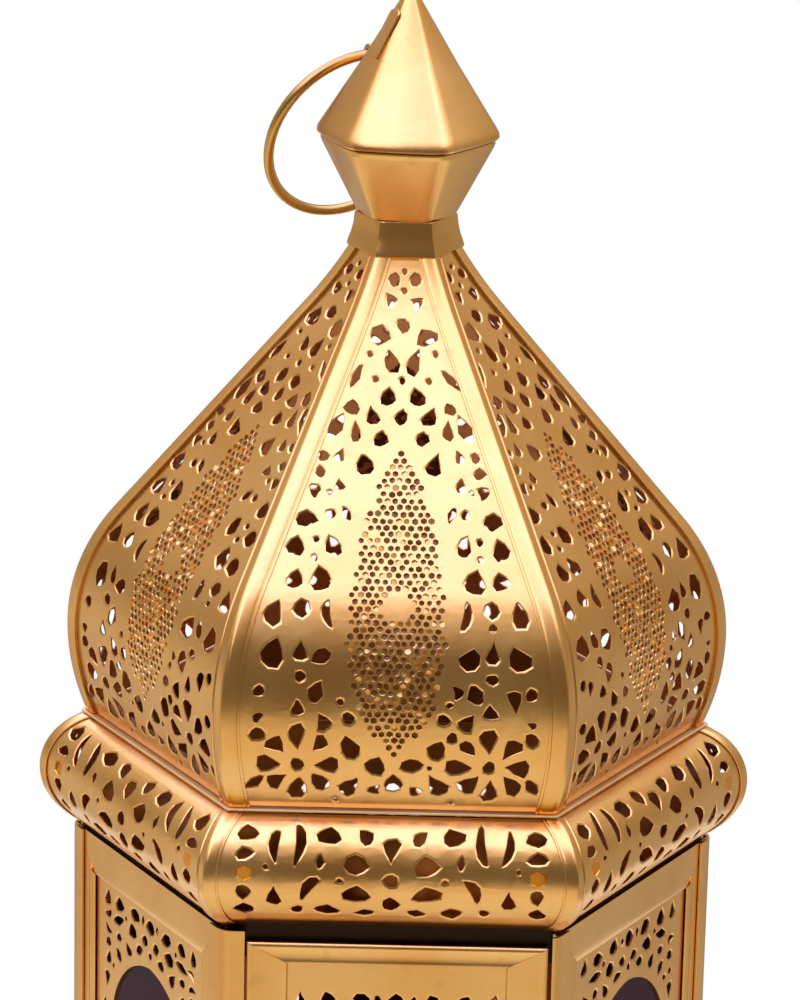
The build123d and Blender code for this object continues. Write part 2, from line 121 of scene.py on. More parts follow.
brassLooks = {
    "pierced_brass": dict(light=(0.86, 0.48, 0.148), deep=(0.8, 0.41, 0.11), rough=0.2, roughSpread=0.14,
                          stain=0.1, waves=0.00032, grain=0.00002),
    "plain_brass": dict(light=(0.86, 0.48, 0.148), deep=(0.79, 0.405, 0.106), rough=0.19, roughSpread=0.14,
                        stain=0.12, waves=0.0003, grain=0.00002),
    "wire_brass": dict(light=(0.68, 0.39, 0.1), deep=(0.52, 0.27, 0.065), rough=0.24, roughSpread=0.1,
                       stain=0.2, waves=0.0001, grain=0.00002),
    # a darker, oranger copy for parts inside the lantern, painted shade
    "inner_shade_brass": dict(light=(0.68, 0.25, 0.045), deep=(0.26, 0.075, 0.012), rough=0.34, roughSpread=0.2,
                        stain=0.3, waves=0.0003, grain=0.00003),
    # a darker copy for the top rail, with a near-black painted shadow under the cornice
    "rail_shade_brass": dict(light=(0.8, 0.32, 0.06), deep=(0.6, 0.18, 0.025), rough=0.38, roughSpread=0.2,
                       stain=0.3, waves=0.0003, grain=0.00003, paintedShadow=(0.03, 0.012, 0.004)),
    # a paler copy for the dome's ledge, a painted highlight along the dome's foot
    "ledge_highlight_brass": dict(light=(0.95, 0.68, 0.33), deep=(0.9, 0.6, 0.25), rough=0.42, roughSpread=0.14,
                        stain=0.1, waves=0.0003, grain=0.00002),
}
# Shared by every brass: noises as scale and detail, spans as low and high
finish = dict(cloud=(26.0, 3.0), cloudSpan=(0.35, 0.65), spots=(120.0, 2.0), spotSpan=(0.62, 0.74),
              waves=(24.0, 1.0), grain=(420.0, 2.0), paintedShadowSpan=(-0.01, 0.01), spotRough=0.25, innerRough=0.1,
              pitRough=0.3, coat=0.12, coatRough=0.25)
stainTone = (0.4, 0.19, 0.05, 1)  # flux and lacquer stains
insideShadeTone = (0.8, 0.32, 0.1, 1)  # painted warm shade on the sheets' inner side
pitShadeTone = (0.2, 0.08, 0.016, 1)  # painted shade in small punch marks
amberTone = (0.84, 0.33, 0.025, 1)  # flux left at a soldered foot


def brass(name, look):
    material, tree = newMaterial(name)
    place = start(tree)
    cloud = place.noise(*finish["cloud"])  # broad tone of hand rubbing
    spots = place.noise(*finish["spots"]).between(*finish["spotSpan"]) * look["stain"]
    tone = cloud.between(*finish["cloudSpan"]).mixed((*look["deep"], 1), (*look["light"], 1))
    tone = spots.mixed(tone, stainTone)
    inner, pit, amber = [place.add("ShaderNodeAttribute", {"attribute_name": mark}, {}, 2)
                         for mark in ("inner", "pit", "amber")]  # numbers kept on the faces
    if "paintedShadow" in look:  # a painted shadow darkens only the outer side of a closed band
        normal = place.add("ShaderNodeTexCoord", {}, {}, 1)
        outward = place.add("ShaderNodeVectorMath", {"operation": "DOT_PRODUCT"}, {0: place, 1: normal}, 1)
        tone = outward.between(*finish["paintedShadowSpan"]).mixed(tone, (*look["paintedShadow"], 1))
    # painted shade on the inner side, then in the punch pits
    tone = inner.mixed(tone, insideShadeTone)
    tone = pit.mixed(tone, pitShadeTone)
    tone = amber.mixed(tone, amberTone)
    rough = look["rough"] + look["roughSpread"] * cloud + finish["spotRough"] * spots
    rough = rough + finish["innerRough"] * inner + finish["pitRough"] * pit
    waves = place.noise(*finish["waves"]) * look["waves"] + place.noise(*finish["grain"]) * look["grain"]
    bump = place.add("ShaderNodeBump", {}, {"Strength": 1.0, "Distance": 1.0, "Height": waves})
    feed(tree.nodes["Principled BSDF"], {
        "Base Color": tone, "Metallic": 1.0, "Roughness": rough, "Normal": bump, "Coat Weight": finish["coat"],
        "Coat Roughness": finish["coatRough"]})
    return material


glassLook = dict(color=(0.03, 0.008, 0.017), rough=0.1, through=0.08, ior=1.45, shine=0.05)


def violetGlass(name, look):
    material, tree = newMaterial(name)
    feed(tree.nodes["Principled BSDF"], {
        "Base Color": (*look["color"], 1), "Roughness": look["rough"], "Transmission Weight": look["through"],
        "IOR": look["ior"], "Specular IOR Level": look["shine"]})
    return material


materials = {slot: brass(slot, look) for slot, look in brassLooks.items()}
materials["violet_glass"] = violetGlass("violet_glass", glassLook)
print("materials made")


tan30 = tan(radians(30))
seam = Vector((cos(radians(30)), sin(radians(30)), 0))  # across the front flat's right corner
millimetre = 0.001
sharpAngle = radians(38)  # a fold sharper than this stays an edge
cutAngle = 1.2  # radians, where a sheet was cut
fullTurn = 6.28


def meshOf(name, bm):
    mesh = bpy.data.meshes.new(name)
    bm.to_mesh(mesh)
    bm.free()
    return mesh


def facedOut(bm):
    bmesh.ops.recalc_face_normals(bm, faces=bm.faces[:])


def addPiece(name, bm, slot, body, *nodes):
    facedOut(bm)
    bmesh.ops.scale(bm, vec=[millimetre] * 3, verts=bm.verts[:])
    mesh = meshOf(name, bm)
    mesh.shade_smooth()
    mesh.set_sharp_from_angle(angle=sharpAngle)
    mesh.materials.append(materials[slot])
    piece = bpy.data.objects.new(name, mesh)
    scene.collection.objects.link(piece)
    flats = piece.modifiers.new("flats", "WEIGHTED_NORMAL")  # flat stretches stay flat beside rounded edges
    flats.keep_sharp = True
    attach(piece, body)
    if nodes:
        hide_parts(*nodes)


def joined(pieces):
    whole = bmesh.new()
    for bm in pieces:
        mesh = meshOf("joining", bm)
        whole.from_mesh(mesh)
        bpy.data.meshes.remove(mesh)
    return whole


def spun(bm, angle, axis):
    turn = Matrix.Rotation(radians(angle), 3, axis)
    bmesh.ops.rotate(bm, cent=(0, 0, 0), matrix=turn, verts=bm.verts[:])
    return bm


def turned(bm, flat):  # from the front flat to another one
    return spun(bm, 60 * flat, "Z")


def eased(bm, geom, offset, segments, affect="EDGES", clamp=False):
    bmesh.ops.bevel(bm, geom=geom, offset=offset, offset_type="OFFSET", segments=segments, profile=0.5,
                    affect=affect, clamp_overlap=clamp, material=-1)


def thickened(bm, thickness):
    bm.normal_update()
    bmesh.ops.solidify(bm, geom=bm.faces[:], thickness=thickness)


def cutEdges(bm):
    return [edge for edge in bm.edges if edge.calc_face_angle(0) > cutAngle]


def scored(bm, point, normal, trim=False):  # a line across all faces, or the end of the sheet
    bmesh.ops.bisect_plane(bm, geom=bm.verts[:] + bm.edges[:] + bm.faces[:], dist=1e-4, plane_co=point,
                           plane_no=normal, clear_outer=trim)


# Skins: height along the sheet and stand-off to apothem and z
domeShape = dict(widest=84.25, widestZ=308.0, lowRadius=76.8, lowArc=27.7, highRadius=60.3, slope=36.7,
                 slopeLength=79.006, flareRadius=132.0, length=166.5)
rollShape = dict(apothem=72.7, z=262.6, radius=18.6, start=-58.153, length=41.1, mirrorZ=281.5)
wallShape = dict(apothem=82.75, low=37.4, high=244.9)


def domeSkin(s, out):
    d = domeShape
    slope = radians(d["slope"])
    if s < d["lowArc"]:
        angle, radius = (s - d["lowArc"]) / d["lowRadius"], d["lowRadius"]
    else:
        angle, radius = min(slope, (s - d["lowArc"]) / d["highRadius"]), d["highRadius"]
    apothem = d["widest"] - radius * (1 - cos(angle))
    z = d["widestZ"] + radius * sin(angle)
    rise = s - d["lowArc"] - slope * d["highRadius"]
    if rise > 0:
        straight = min(rise, d["slopeLength"])
        apothem -= straight * sin(slope)
        z += straight * cos(slope)
    if rise > d["slopeLength"]:
        angle = slope - (rise - d["slopeLength"]) / d["flareRadius"]
        apothem += d["flareRadius"] * (cos(slope) - cos(angle))
        z += d["flareRadius"] * (sin(slope) - sin(angle))
    return apothem + out * cos(angle), z + out * sin(angle)


def rollSkin(s, out):
    angle = radians(rollShape["start"]) + s / rollShape["radius"]
    reach = rollShape["radius"] + out
    return rollShape["apothem"] + reach * cos(angle), rollShape["z"] + reach * sin(angle)


def baseSkin(s, out):
    apothem, z = rollSkin(s, out)
    return apothem, rollShape["mirrorZ"] - z


def wallSkin(s, out):
    return wallShape["apothem"] + out, s


def scaled(punches, share=1):  # a round one gives its width alone, and most aren't turned
    for kind, u, s, width, *rest in punches:
        height, turn = (*rest, *(width, 0)[len(rest):])
        yield kind, u, s, width * share, height * share, turn


loopCounts = dict(dot=8, drop=9, leaf=8, gem=8, wedge=8, bean=12)
punchLook = dict(dropTaper=0.8, dropWidest=1.2, gemPower=1.55, gemSag=0.18, wedgeWidth=0.66, wedgeTaper=0.4,
                 wedgeTop=0.8, beanWidth=0.72, beanBend=0.6, beanMiddle=0.45)


def shaped(kind, x, y, look):  # a unit circle's point on a punch's outline
    if kind == "drop":
        x *= (1 - look["dropTaper"] * y) / look["dropWidest"]
    elif kind == "leaf":
        x *= abs(x)
    elif kind == "gem":
        power = look["gemPower"]
        spread = (abs(x) ** power + abs(y) ** power) ** (-1 / power)
        x *= spread
        y *= spread
        y -= look["gemSag"] * (1 - y * y)
    elif kind == "wedge":
        x *= look["wedgeWidth"] + look["wedgeTaper"] * y
        y = y if y < 0 else look["wedgeTop"] * y
    elif kind == "bean":
        x = look["beanWidth"] * x + look["beanBend"] * (look["beanMiddle"] - y * y)
    return x, y


def punchRing(bm, punch, grow, depth, side):
    kind, u, s, width, height, turn, lean, bend = punch
    ring = bmesh.ops.create_circle(bm, cap_ends=False, segments=loopCounts[kind], radius=1)["verts"]
    cosine, sine = cos(radians(turn)), sin(radians(turn))
    for vert in ring:
        angle = atan2(vert.co.y, vert.co.x)
        swell = 1 + handLook["swell"] * (cos(2 * angle + lean) + cos(3 * angle + bend))
        x, y = shaped(kind, vert.co.x, vert.co.y, punchLook)
        x *= (width / 2) * swell + grow
        y *= (height / 2) * swell + grow
        vert.co = (side * (u + x * cosine - y * sine), s + x * sine + y * cosine, depth)
    return ring


def pointsOf(ring):
    return [vert.co.xy.copy() for vert in ring]


def edgesOf(ring):
    return list({edge for vert in ring for edge in vert.link_edges})


def inside(point, loop):
    odd = False
    for a, b in zip(loop, loop[1:] + loop[:1]):
        if (a.y > point.y) != (b.y > point.y):
            if point.x < a.x + (point.y - a.y) * (b.x - a.x) / (b.y - a.y):
                odd = not odd
    return odd


def nearest(loop, other):
    best = 1e9
    for point in loop:
        for a, b in zip(other, other[1:] + other[:1]):
            along = b - a
            share = max(0, min(1, (point - a).dot(along) / max(along.length_squared, 1e-9)))
            best = min(best, (point - a - share * along).length)
    return best


def isClear(loop, taken, gap):
    middle = sum(loop, Vector((0, 0))) / len(loop)
    reach = max((point - middle).length for point in loop)
    for otherMiddle, otherReach, other in taken:
        if (middle - otherMiddle).length > reach + otherReach + gap:
            continue
        if any(inside(point, other) for point in loop) or any(inside(point, loop) for point in other):
            return False
        if min(nearest(loop, other), nearest(other, loop)) < gap:
            return False
    taken.append((middle, reach, loop))
    return True


rimLook = dict(flat=0.3, dish=0.5, depth=0.22, shallow=0.4, gap=0.12,
               tries=((1, 1), (1, 0.6), (1, 0.3), (0.88, 0.3), (0.76, 0.3)))  # shares of the hole and of its rim


def cutPunch(bm, punch, side, taken, fillEdges):  # the rim is tightened, then the hole, until it fits
    kind, u, s, width, height, *twist = punch
    look = rimLook
    for share, rim in look["tries"]:
        tight = (kind, u, s, width * share, height * share, *twist)
        outer = punchRing(bm, tight, (look["flat"] + look["dish"]) * rim, 0, side)
        if isClear(pointsOf(outer), taken, look["gap"]):
            outerEdges = edgesOf(outer)
            middleEdges = edgesOf(punchRing(bm, tight, look["dish"] * rim, 0, side))
            depth = look["depth"] * (look["shallow"] + (1 - look["shallow"]) * rim)
            innerEdges = edgesOf(punchRing(bm, tight, 0, -depth, side))
            bmesh.ops.bridge_loops(bm, edges=outerEdges + middleEdges)
            bmesh.ops.bridge_loops(bm, edges=middleEdges + innerEdges)
            fillEdges.extend(outerEdges)
            return
        bmesh.ops.delete(bm, geom=outer, context="VERTS")


# shadedShare: the share of dents whose pits take the full painted shade
dimpleLook = dict(rim=0.17, depth=0.36, gap=0.12, sides=6, stray=0.22, tilt=0.27, shadedShare=0.7, bright=0.15)


def dimples(bm, dots, chance, taken, fillEdges):  # a blunt punch only dents the sheet
    look = dimpleLook
    marks = bmesh.new()
    for u, s, size in dots:
        stray = [chance.uniform(-1, 1) * look["stray"] for way in range(2)]
        place = Matrix.Translation((u + stray[0], s + stray[1], 0))
        ring = bmesh.ops.create_circle(marks, cap_ends=True, segments=look["sides"], radius=size / 2,
                                       matrix=place)["verts"]
        if not isClear(pointsOf(ring), taken, look["gap"]):
            bmesh.ops.delete(marks, geom=ring, context="VERTS")
    mesh = meshOf("marks", marks)
    before = set(bm.faces)
    bm.from_mesh(mesh)
    bpy.data.meshes.remove(mesh)
    dents = [face for face in bm.faces if face not in before]
    fillEdges.extend(edge for face in dents for edge in face.edges)
    return dents


def rubbed(punch, chance, look):  # no two hand punches are alike
    kind, u, s, width, height, turn = punch
    u += chance.uniform(-1, 1) * look["shift"] * (u != 0)
    s += chance.uniform(-1, 1) * look["shift"]
    width *= 1 + chance.uniform(-1, 1) * look["grow"]
    height *= 1 + chance.uniform(-1, 1) * look["grow"]
    turn += chance.uniform(-1, 1) * look["turn"]
    return kind, u, s, width, height, turn, chance.uniform(0, fullTurn), chance.uniform(0, fullTurn)


handLook = dict(shift=0.45, grow=0.1, turn=12, swell=0.09)
sheetLook = dict(mitre=0.1, facing=0.25, window=200)  # facing: inward part of an inner face's normal


def piercedSheet(outline, punches, seed, skin, look, levels=(), dots=(), loops=(), gore=True):
    chance = random.Random(seed)
    bm = bmesh.new()
    bm.faces.layers.float.new("pit")
    inner = bm.faces.layers.float.new("inner")
    pit = bm.faces.layers.float["pit"]  # fetched after the last layer is added
    border = [bm.verts.new((x, y, 0)) for x, y in outline]
    fillEdges = [bm.edges.new(pair) for pair in zip(border, border[1:] + border[:1])]
    taken = []
    for loop in loops:  # windows
        ring = loop(bm)
        fillEdges.extend(edgesOf(ring))
        points = pointsOf(ring)
        taken.append((sum(points, Vector((0, 0))) / len(points), sheetLook["window"], points))
    for punch in punches:
        for side in (1, -1) if gore and punch[1] else (1,):
            cutPunch(bm, rubbed(punch, chance, handLook), side, taken, fillEdges)
    dents = dimples(bm, dots, chance, taken, fillEdges)
    bmesh.ops.triangle_fill(bm, use_beauty=True, use_dissolve=False, edges=fillEdges)
    bm.normal_update()
    bmesh.ops.reverse_faces(bm, faces=[face for face in bm.faces if face.normal.z < 0])
    bm.normal_update()
    bmesh.ops.inset_individual(bm, faces=dents, thickness=dimpleLook["rim"], depth=-dimpleLook["depth"])
    for face in dents:  # most pits take the full painted shade, some only a trace, and these stay bright and catch the light
        face[pit] = 1.0 if chance.random() < dimpleLook["shadedShare"] else dimpleLook["bright"]
        middle = face.calc_center_median()
        lean = Matrix.Rotation(chance.uniform(0, fullTurn), 3, "Z") @ Vector((1, 0, 0))
        for vert in face.verts:
            vert.co.z += dimpleLook["tilt"] * lean.dot((vert.co - middle).normalized())
    for level in levels:  # lines for the bend
        scored(bm, (0, level, 0), (0, 1, 0))
    for vert in bm.verts:
        apothem, z = skin(vert.co.y, vert.co.z + look["out"])
        vert.co = (vert.co.x, -apothem, z)
    if gore:  # mitred at both corners
        for side in (1, -1):
            across = Vector((side * seam.x, seam.y, 0))
            scored(bm, -sheetLook["mitre"] * across, across, trim=True)
    thickened(bm, look["thickness"])
    facedOut(bm)
    for face in bm.faces:
        face[inner] = 1.0 if face.normal.y > sheetLook["facing"] else 0.0
    return bm


foldLook = dict(segments=4, cut=0.22, cutSegments=2)


def cornerStrip(skin, low, high, legs, look):  # its groove is a list of stops from the edge
    bm = bmesh.new()
    rows = max(1, round((high - low) / look["step"]))
    across = Matrix.Identity(4)
    for row in range(3):
        for column in range(3):
            across[row][column] -= 2 * seam[row] * seam[column]  # mirror in the corner's plane
    for leg, mirrored in zip(legs, (False, True)):
        stops = [(0, 0), *look["groove"], (leg, 0)]
        grid = bmesh.ops.create_grid(bm, x_segments=len(stops) - 1, y_segments=rows, size=0.5)["verts"]
        for vert in grid:
            inset, depth = stops[round((vert.co.x + 0.5) * (len(stops) - 1))]
            rise = vert.co.y + 0.5
            apothem, z = skin(low + rise * (high - low), look["out"] + depth)
            vert.co = (apothem * tan30 - (leg - inset) * (1 - look["taper"] * rise), -apothem, z)
        if mirrored:
            bmesh.ops.transform(bm, matrix=across, verts=grid)
    bmesh.ops.remove_doubles(bm, verts=bm.verts[:], dist=1e-3)
    facedOut(bm)
    outward = Vector((seam.y, -seam.x, 0))
    if sum(face.normal.dot(outward) for face in bm.faces) < 0:
        bmesh.ops.reverse_faces(bm, faces=bm.faces[:])
    ridge = [edge for edge in bm.edges if all(abs(vert.co.dot(seam)) < 1e-3 for vert in edge.verts)]
    eased(bm, ridge, look["fold"], foldLook["segments"])
    thickened(bm, look["thickness"])
    facedOut(bm)
    eased(bm, cutEdges(bm), foldLook["cut"], foldLook["cutSegments"], clamp=True)
    bmesh.ops.dissolve_degenerate(bm, dist=1e-4, edges=bm.edges[:])
    return bm


print("tools ready")

hiddenFlats = (2, 3, 4)  # at the back, pierced a little smaller
goreLook = dict(half=52, out=-0.9, thickness=0.6, bend=2.4, bendTop=67, flare=145, flareBend=3.5, front=1.13,
                back=0.84, seed=11)
gorePunches = [
    ("gem", 0, 8.8, 4.7, 4.7), ("gem", 4.9, 15, 5.4, 4.4, 15), ("gem", 12.4, 20, 4.9, 6.3, -20),
    ("drop", 12.3, 8, 4.5, 6, 25), ("bean", 5.6, 6.6, 4, 2.5, 10), ("dot", 16, 3, 1.4),
    ("dot", 38.5, 24, 3.5), ("leaf", 39, 8.3, 3, 5.5, 40), ("bean", 38, 28.4, 3, 2.6, 30),
    ("wedge", 27, 32, 4.7, 4.4, 180), ("drop", 20, 28.5, 3.8, 5, -30), ("dot", 13.3, 28.8, 3),
    ("dot", 15, 33.8, 1.6), ("dot", 15.8, 24, 2.7), ("dot", 27, 41, 2.9),
    ("gem", 34, 47.3, 6.2, 7, 20), ("drop", 27, 48.3, 3, 5), ("gem", 21, 46.8, 6, 6, -15),
    ("dot", 37, 42.7, 2.2), ("dot", 38, 37, 3), ("wedge", 33.5, 35.3, 5, 6),
    ("leaf", 22, 36.8, 4, 5.5, 20), ("bean", 17, 36.9, 3, 3.4), ("drop", 34.6, 59.5, 4.7, 6.2, 15),
    ("gem", 26.4, 60.5, 4.2, 4.4), ("dot", 26.4, 56, 2.4), ("bean", 19, 58.6, 3, 6.4),
    ("gem", 28.4, 69.3, 4.4, 5, 10), ("gem", 21.5, 69.2, 5.4, 6.6, -10), ("gem", 28.5, 78.4, 4.2, 5.5, 15),
    ("gem", 18, 79, 3.9, 5.9, -20), ("dot", 23, 80.6, 1.6), ("dot", 23, 75.6, 1.6),
    ("gem", 26.3, 87, 5.2, 4.4, 10), ("dot", 19, 88.4, 2.2), ("leaf", 14.5, 88.6, 2.2, 4, -25),
    ("bean", 23.6, 95.2, 3.7, 3.1, 20), ("dot", 20, 95, 1.4), ("leaf", 22.3, 100.6, 3.2, 2.6),
    ("drop", 17.1, 97.5, 2.8, 3.3), ("dot", 21.5, 106, 2.6), ("drop", 16.5, 105.6, 2.4, 3.4, 15),
    ("drop", 10, 103.5, 4.4, 5.6, -20), ("leaf", 18.2, 114.5, 3.6, 7, 20), ("drop", 12.7, 113.5, 2.6, 5.8, 10),
    ("gem", 6, 111.4, 3.6, 4), ("gem", 13.8, 120.2, 4, 4.4, 15), ("drop", 8.5, 117.8, 3.7, 4.8, -15),
    ("gem", 0, 117.8, 3.2, 4.2), ("gem", 4, 123.3, 3.9, 4.7, 10), ("dot", 0, 128.8, 1.8),
    ("dot", 7.5, 128.9, 1.5), ("leaf", 13.4, 129.5, 2, 7, 33), ("drop", 3.1, 134.5, 3.8, 6.3, -20),
    ("dot", 9, 136.6, 1.5), ("gem", 6.9, 142.4, 5.6, 5.2, 20), ("dot", 0, 145.8, 3.7),
    ("drop", 3.5, 152.5, 3.6, 2.9, 70), ("dot", 0, 155.3, 1.4), ("dot", 3.3, 159, 3),
    ("dot", 0, 161.6, 1.4), ("leaf", 7.2, 12, 1.6, 3.4, -35), ("dot", 9.6, 14.2, 1.6),
]
rosetteLook = dict(u=26.8, s=15.0, heart=3.5, ring=8.2, petals=8, width=4.6, height=6.2)
medallionLook = dict(pitch=2.3, row=2.0, columns=9, foot=1.2, top=1, small=1.7, large=2.15, plainU=4.2,
                     plainS=61.0, plainRise=4.4, seed=40)
medallionEdge = [(17.5, 0), (27, 8.3), (37, 12), (49, 14), (60, 13.6), (75, 11.3), (89, 9.3), (100, 4.5), (108, 0)]


def rosette(look):
    punches = [("dot", look["u"], look["s"], look["heart"])]
    for petal in range(look["petals"]):
        angle = radians(90 + petal * 360 / look["petals"])
        u, s = look["u"] + look["ring"] * cos(angle), look["s"] + look["ring"] * sin(angle)
        punches.append(("drop", u, s, look["width"], look["height"], degrees(angle) + 90))
    return punches


def medallion(look, edge, seed):
    chance = random.Random(seed)
    dots = []
    row = 0
    s = edge[0][0] + look["foot"]
    while s < edge[-1][0] - look["top"]:
        for (s0, half0), (s1, half1) in zip(edge, edge[1:]):
            if s0 <= s <= s1:
                half = half0 + (half1 - half0) * (s - s0) / (s1 - s0)
        u = -look["pitch"] * look["columns"] + look["pitch"] / 2 * (row % 2)
        while u < half:
            plain = hypot(u / look["plainU"], (s - look["plainS"]) / look["plainRise"]) < 1
            if abs(u) < half and not plain:
                dots.append((u, s, chance.uniform(look["small"], look["large"])))
            u += look["pitch"]
        s += look["row"]
        row += 1
    return dots


def spaced(low, high, step):
    count = max(1, round((high - low) / step))
    return [low + (high - low) * k / count for k in range(1, count)]


def blank(half, length):  # the flat sheet
    return [(-half, 0), (half, 0), (half, length), (-half, length)]


goreLevels = spaced(0, goreLook["bendTop"], goreLook["bend"]) + [goreLook["bendTop"]]
goreLevels += spaced(goreLook["flare"], domeShape["length"], goreLook["flareBend"])
for flat in range(6):
    share = goreLook["back"] if flat in hiddenFlats else goreLook["front"]
    punches = scaled(gorePunches + rosette(rosetteLook), share)
    dots = medallion(medallionLook, medallionEdge, medallionLook["seed"] + flat)
    gore = piercedSheet(blank(goreLook["half"], domeShape["length"]), punches, goreLook["seed"] + flat, domeSkin,
                        goreLook, goreLevels, dots)
    addPiece(f"domeGore{flat + 1}", turned(gore, flat), "pierced_brass", "lantern", f"dome_gore_{flat + 1}")
print("dome gores pierced")

ribLook = dict(leg=5.7, taper=0.24, out=0.0, thickness=0.86, step=2.0, fold=1.1, solder=286.5, fade=4,
               groove=((0.7, 0), (1.05, -0.22), (1.5, -0.22), (1.9, 0)))
for corner in range(6):
    rib = cornerStrip(domeSkin, 0, domeShape["length"], (ribLook["leg"], ribLook["leg"]), ribLook)
    amber = rib.faces.layers.float.new("amber")
    for face in rib.faces:
        face[amber] = max(0, min(1, (ribLook["solder"] - face.calc_center_median().z) / ribLook["fade"]))
    addPiece(f"domeRib{corner + 1}", turned(rib, corner), "plain_brass", "lantern", f"dome_rib_{corner + 1}")
print("dome ribs folded")

rollLook = dict(half=56, out=-0.66, thickness=0.6, bend=1.6, flangeInner=70.5, flangeOuter=79.5, flangeThick=0.8,
                lip=2.8, studs=((41.2, 21.9, 4.9), (-41.2, 21.9, 4.9)), corniceSeed=70, baseSeed=90)
rollPunches = [
    ("gem", 40.2, 34, 6.0, 5.6), ("bean", 33, 30.4, 3.4, 11.4), ("bean", 25.6, 30.8, 4.2, 11.4, 180),
    ("gem", 17.1, 33.4, 6.8, 5.4, 20), ("gem", 7.4, 33.2, 5.6, 4.2, 60), ("drop", 0, 29.4, 5.2, 6.6, 180),
    ("gem", 41.2, 27.3, 5.6, 3.4), ("gem", 41.2, 16.3, 4.6, 4.6, 180), ("leaf", 19.6, 25.8, 2.2, 4.2),
    ("dot", 35.2, 23.5, 1.6), ("gem", 9.6, 25.1, 7.2, 6.4), ("dot", 0, 20.3, 4.4), ("drop", 32.6, 14.4, 4.4, 6.6),
    ("bean", 23.4, 17.5, 4.4, 8.4, 35), ("gem", 10.2, 15.9, 9, 5, 10), ("gem", 0, 12.6, 5.2, 5.2),
    ("leaf", 41, 9.4, 4.2, 5.6, 90), ("dot", 26, 9.8, 3.0), ("leaf", 17.4, 9.4, 4.2, 7.4, 90),
    ("leaf", 7.6, 9, 3, 5.6, 90), ("dot", 20.2, 21.2, 3.2), ("dot", 14.8, 20.4, 1.5),
]
rollLevels = spaced(0, rollShape["length"], rollLook["bend"])


def rollSheet(skin, flat, seed):
    sheet = piercedSheet(blank(rollLook["half"], rollShape["length"]), scaled(rollPunches), seed, skin,
                         rollLook, rollLevels, rollLook["studs"])
    amber = sheet.faces.layers.float.new("amber")
    for face in sheet.faces:  # amber along the lip and at two studs
        x, y, z = face.calc_center_median()
        z = z if skin is rollSkin else rollShape["mirrorZ"] - z
        angle = atan2(z - rollShape["z"], -y - rollShape["apothem"]) - radians(rollShape["start"])
        s = rollShape["radius"] * angle
        stud = any(hypot(x - u, s - at) < size / 2 for u, at, size in rollLook["studs"])
        face[amber] = 1.0 if stud or s < rollLook["lip"] else 0.0
    return turned(sheet, flat)


def hexFlange(look):
    bm = bmesh.new()
    bmesh.ops.create_circle(bm, cap_ends=True, segments=6, radius=look["flangeOuter"] / cos(radians(30)))
    spun(bm, 30, "Z")
    inset = look["flangeOuter"] - look["flangeInner"]
    bmesh.ops.inset_region(bm, faces=bm.faces[:], thickness=inset, use_boundary=True, use_even_offset=True)
    middle = min(bm.faces, key=lambda face: face.calc_center_median().length)
    bmesh.ops.delete(bm, geom=[middle], context="FACES")
    bmesh.ops.solidify(bm, geom=bm.faces[:], thickness=look["flangeThick"])
    low = min(vert.co.z for vert in bm.verts)
    bmesh.ops.translate(bm, vec=(0, 0, -low), verts=bm.verts[:])
    return bm


rolls = [rollSheet(rollSkin, flat, rollLook["corniceSeed"] + flat) for flat in range(6)]
addPiece("corniceRolls", joined(rolls), "pierced_brass", "lantern", "cornice_rolls")
rolls = [rollSheet(baseSkin, flat, rollLook["baseSeed"] + flat) for flat in range(6)]
addPiece("baseRoll", joined(rolls + [hexFlange(rollLook)]), "pierced_brass", "lantern", "base_roll")
print("rolls pierced")

strapLook = dict(leg=4.2, taper=0.0, out=-0.07, thickness=0.5, step=1.4, fold=0.8,
                 groove=((0.5, 0), (0.85, -0.2), (1.2, -0.2), (1.55, 0)))
for name, skin in (("corniceStraps", rollSkin), ("baseStraps", baseSkin)):
    legs = (strapLook["leg"], strapLook["leg"])
    straps = [turned(cornerStrip(skin, 0, rollShape["length"], legs, strapLook), corner) for corner in range(6)]
    addPiece(name, joined(straps), "plain_brass", "lantern")
print("straps folded")

wallLook = dict(half=24.5, sill=69.5, spring=188.5, arc=26.6, thickness=0.8, arcSteps=16)


def windowLoop(shift):
    def build(bm):
        look = wallLook
        offset = look["arc"] - look["half"]
        apex = atan2(sqrt(look["arc"] ** 2 - offset ** 2), offset)
        ring = []
        for side in (1, -1):
            foot = bm.verts.new((shift + side * look["half"], look["spring"], 0))
            arc = bmesh.ops.spin(bm, geom=[foot], cent=(shift - side * offset, look["spring"], 0), axis=(0, 0, side),
                                 dvec=(0, 0, 0), angle=apex, steps=look["arcSteps"], use_merge=False)
            low = bm.verts.new((shift + side * look["half"], look["sill"], 0))
            bm.edges.new((foot, low))
            last = arc["geom_last"][0]
            chain = [low, foot]
            while chain[-1] != last:
                chain.append(next(edge.other_vert(chain[-1]) for edge in chain[-1].link_edges
                                  if edge.other_vert(chain[-1]) not in chain))
            ring.append(chain)
        bm.edges.new((ring[0][0], ring[1][0]))
        right, left = ring
        bmesh.ops.weld_verts(bm, targetmap={left[-1]: right[-1]})
        return right + left[-2::-1]
    return build


